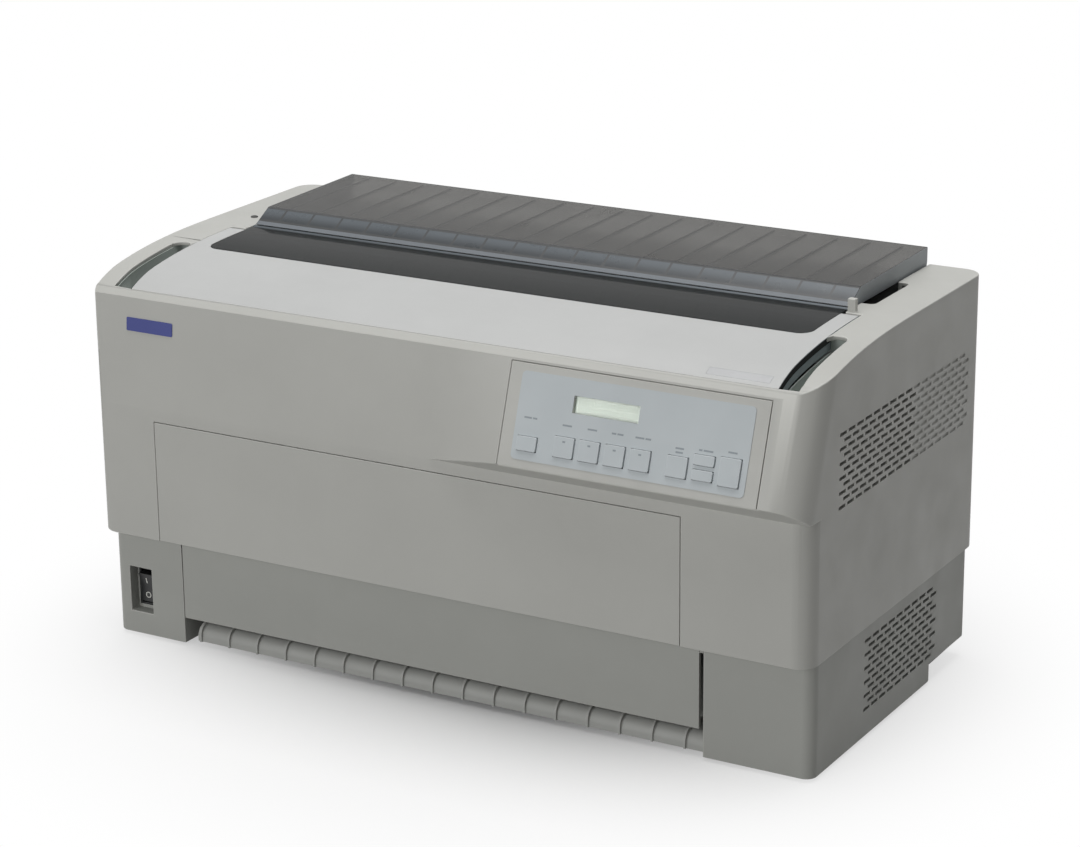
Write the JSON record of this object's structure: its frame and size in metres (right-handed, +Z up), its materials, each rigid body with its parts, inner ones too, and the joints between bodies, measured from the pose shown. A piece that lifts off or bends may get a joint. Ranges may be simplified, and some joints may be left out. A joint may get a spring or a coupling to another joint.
{
  "type": "dot matrix printer",
  "caption": "Wide dot matrix printer for continuous forms: two-part case, hinged top cover with window, smoke paper cover, front door, raised control corner and working print mechanism.",
  "frame": {"origin": "centre of the overall width and depth, at the height of the surface the rubber feet stand on", "axes": "+X to the printer's right as seen by its user, +Y to the rear, +Z up"},
  "size_m": [0.7, 0.362, 0.3638],
  "materials": {
    "case_grey": "moulded, fine texture",
    "base_grey": "moulded, fine texture",
    "cover_grey": "moulded, fine texture",
    "rubber": "moulded",
    "dark_plastic": "moulded",
    "window_smoke": "polished smoke acrylic",
    "hood_smoke": "smoke-tinted, satin",
    "nameplate": "satin, blank",
    "tear_steel": "brushed",
    "guide_grey": "moulded",
    "badge_blue": "blank, printed blue",
    "panel_grey": "moulded",
    "label_film": "printed film",
    "lcd_glass": "clear",
    "lcd_green": "display module",
    "board_green": "lacquered board",
    "key_grey": "moulded",
    "switch_black": "moulded",
    "zinc_steel": "zinc-plated sheet",
    "plated_steel": "ground rod",
    "head_metal": "cast, dark",
    "ribbon_black": "moulded",
    "knob_blue": "moulded",
    "belt_black": "fabric-backed",
    "motor_dark": "painted steel",
    "platen_rubber": "ground rubber on a steel shaft",
    "gear_white": "moulded acetal",
    "brass": "machined"
  },
  "bodies": {
    "case": {"lower_case": "base_grey", "upper_case": "case_grey", "rubber_feet": "rubber", "finger_slot_liners": "dark_plastic", "tear_bar": "tear_steel", "exit_guide": "guide_grey", "front_paper_guide": "guide_grey", "badge_plate": "badge_blue", "control_panel": "panel_grey", "control_label": "label_film", "lcd_window": "lcd_glass", "lcd_module": "lcd_green", "control_board": "board_green", "power_switch_body": "switch_black", "rear_panel": "zinc_steel", "mains_inlet": "switch_black", "interface_connectors": "zinc_steel", "base_chassis": "zinc_steel", "left_side_frame": "zinc_steel", "right_side_frame": "zinc_steel", "carriage_rails": "plated_steel", "ribbon_cartridge": "ribbon_black", "drive_belt": "belt_black", "carriage_motor": "motor_dark", "feed_motor": "motor_dark", "tractor_guide_rod": "plated_steel", "fan_frame": "dark_plastic", "main_board": "board_green", "power_supply": "zinc_steel"},
    "top_cover": {"top_cover": "cover_grey", "cover_window": "window_smoke", "nameplate": "nameplate"},
    "paper_cover": {"paper_cover": "hood_smoke"},
    "front_door": {"front_door": "case_grey"},
    "lower_front_cover": {"lower_front_cover": "base_grey"},
    "carriage": {"carriage": "dark_plastic", "print_head": "head_metal"},
    "drive_pulley": {"drive_pulley": "plated_steel"},
    "idler_pulley": {"idler_pulley": "plated_steel"},
    "platen": {"platen_roller": "platen_rubber", "platen_gear": "gear_white"},
    "feed_pinion": {"feed_pinion": "brass"},
    "tractor_shaft": {"tractor_shaft": "plated_steel", "tractor_gear": "gear_white"},
    "left_tractor": {"left_tractor": "dark_plastic"},
    "right_tractor": {"right_tractor": "dark_plastic"},
    "left_tractor_flap": {"left_tractor_flap": "dark_plastic"},
    "right_tractor_flap": {"right_tractor_flap": "dark_plastic"},
    "ribbon_knob": {"ribbon_knob": "knob_blue"},
    "fan_rotor": {"fan_rotor": "dark_plastic"},
    "power_rocker": {"power_rocker": "switch_black"},
    "panel_key_1": {"panel_key_1": "key_grey"},
    "panel_key_2": {"panel_key_2": "key_grey"},
    "panel_key_3": {"panel_key_3": "key_grey"},
    "panel_key_4": {"panel_key_4": "key_grey"},
    "panel_key_5": {"panel_key_5": "key_grey"},
    "panel_key_6": {"panel_key_6": "key_grey"},
    "panel_key_7": {"panel_key_7": "key_grey"},
    "panel_key_8": {"panel_key_8": "key_grey"},
    "panel_key_9": {"panel_key_9": "key_grey"}
  },
  "joints": [
    {"name": "top_cover_hinge", "type": "hinge", "parent": "case", "child": "top_cover", "pos_m": [0, 0.002, 0.34351], "axis": [-1, 0, 0], "range_deg": [0, 95]},
    {"name": "paper_cover_hinge", "type": "hinge", "parent": "case", "child": "paper_cover", "pos_m": [0, 0.173, 0.341], "axis": [-1, 0, 0], "range_deg": [0, 90]},
    {"name": "front_door_hinge", "type": "hinge", "parent": "case", "child": "front_door", "pos_m": [0, -0.1565, 0.1079], "axis": [1, 0, 0], "range_deg": [0, 90]},
    {"name": "lower_cover_hinge", "type": "hinge", "parent": "case", "child": "lower_front_cover", "pos_m": [0, -0.14385, 0.095], "axis": [-1, 0, 0], "range_deg": [0, 60]},
    {"name": "carriage_slide", "type": "slide", "parent": "case", "child": "carriage", "axis": [1, 0, 0], "range_m": [-0.2, 0.2]},
    {"name": "drive_pulley_spin", "type": "hinge", "parent": "case", "child": "drive_pulley", "pos_m": [-0.264, -0.103, 0.266], "axis": [0, 0, 1], "range_deg": [-1400, 1400]},
    {"name": "idler_pulley_spin", "type": "hinge", "parent": "case", "child": "idler_pulley", "pos_m": [0.264, -0.103, 0.266], "axis": [0, 0, 1], "range_deg": [-1400, 1400]},
    {"name": "platen_turn", "type": "hinge", "parent": "case", "child": "platen", "pos_m": [0, 0.004, 0.283], "axis": [1, 0, 0], "continuous": true},
    {"name": "feed_pinion_turn", "type": "hinge", "parent": "case", "child": "feed_pinion", "pos_m": [-0.3, -0.01729, 0.22371], "axis": [1, 0, 0], "continuous": true},
    {"name": "tractor_shaft_turn", "type": "hinge", "parent": "case", "child": "tractor_shaft", "pos_m": [0, -0.06425, 0.18171], "axis": [1, 0, 0], "continuous": true},
    {"name": "left_tractor_slide", "type": "slide", "parent": "case", "child": "left_tractor", "axis": [1, 0, 0], "range_m": [0, 0.06]},
    {"name": "right_tractor_slide", "type": "slide", "parent": "case", "child": "right_tractor", "axis": [1, 0, 0], "range_m": [-0.15, 0.012]},
    {"name": "left_flap_hinge", "type": "hinge", "parent": "left_tractor", "child": "left_tractor_flap", "pos_m": [-0.22345, -0.11284, 0.14154], "axis": [0, -0.6428, -0.766], "range_deg": [0, 100]},
    {"name": "right_flap_hinge", "type": "hinge", "parent": "right_tractor", "child": "right_tractor_flap", "pos_m": [0.19695, -0.11284, 0.14154], "axis": [0, 0.6428, 0.766], "range_deg": [0, 100]},
    {"name": "ribbon_knob_turn", "type": "hinge", "parent": "case", "child": "ribbon_knob", "pos_m": [-0.20625, -0.105, 0.3], "axis": [0, 0, 1], "continuous": true},
    {"name": "fan_spin", "type": "hinge", "parent": "case", "child": "fan_rotor", "pos_m": [0.33, -0.039, 0.25605], "axis": [1, 0, 0], "continuous": true},
    {"name": "panel_key_1_press", "type": "slide", "parent": "case", "child": "panel_key_1", "axis": [0, 0.9475, -0.3197], "range_m": [0, 0.001], "stiffness_N_per_m": 400, "springref_m": -0.0006},
    {"name": "panel_key_2_press", "type": "slide", "parent": "case", "child": "panel_key_2", "axis": [0, 0.9475, -0.3197], "range_m": [0, 0.001], "stiffness_N_per_m": 400, "springref_m": -0.0006},
    {"name": "panel_key_3_press", "type": "slide", "parent": "case", "child": "panel_key_3", "axis": [0, 0.9475, -0.3197], "range_m": [0, 0.001], "stiffness_N_per_m": 400, "springref_m": -0.0006},
    {"name": "panel_key_4_press", "type": "slide", "parent": "case", "child": "panel_key_4", "axis": [0, 0.9475, -0.3197], "range_m": [0, 0.001], "stiffness_N_per_m": 400, "springref_m": -0.0006},
    {"name": "panel_key_5_press", "type": "slide", "parent": "case", "child": "panel_key_5", "axis": [0, 0.9475, -0.3197], "range_m": [0, 0.001], "stiffness_N_per_m": 400, "springref_m": -0.0006},
    {"name": "panel_key_6_press", "type": "slide", "parent": "case", "child": "panel_key_6", "axis": [0, 0.9475, -0.3197], "range_m": [0, 0.001], "stiffness_N_per_m": 400, "springref_m": -0.0006},
    {"name": "panel_key_7_press", "type": "slide", "parent": "case", "child": "panel_key_7", "axis": [0, 0.9475, -0.3197], "range_m": [0, 0.001], "stiffness_N_per_m": 400, "springref_m": -0.0006},
    {"name": "panel_key_8_press", "type": "slide", "parent": "case", "child": "panel_key_8", "axis": [0, 0.9475, -0.3197], "range_m": [0, 0.001], "stiffness_N_per_m": 400, "springref_m": -0.0006},
    {"name": "panel_key_9_press", "type": "slide", "parent": "case", "child": "panel_key_9", "axis": [0, 0.9475, -0.3197], "range_m": [0, 0.001], "stiffness_N_per_m": 400, "springref_m": -0.0006},
    {"name": "power_rocker_tilt", "type": "hinge", "parent": "case", "child": "power_rocker", "pos_m": [-0.319, -0.1296, 0.04525], "axis": [1, 0, 0], "range_deg": [-16, 0]}
  ],
  "couplings": [
    {"joint": "drive_pulley_spin", "follows": "carriage_slide", "rad_per_m": -97.087},
    {"joint": "idler_pulley_spin", "follows": "carriage_slide", "rad_per_m": -97.087},
    {"joint": "feed_pinion_turn", "follows": "platen_turn", "ratio": -2.5},
    {"joint": "tractor_shaft_turn", "follows": "platen_turn", "ratio": 1}
  ]
}
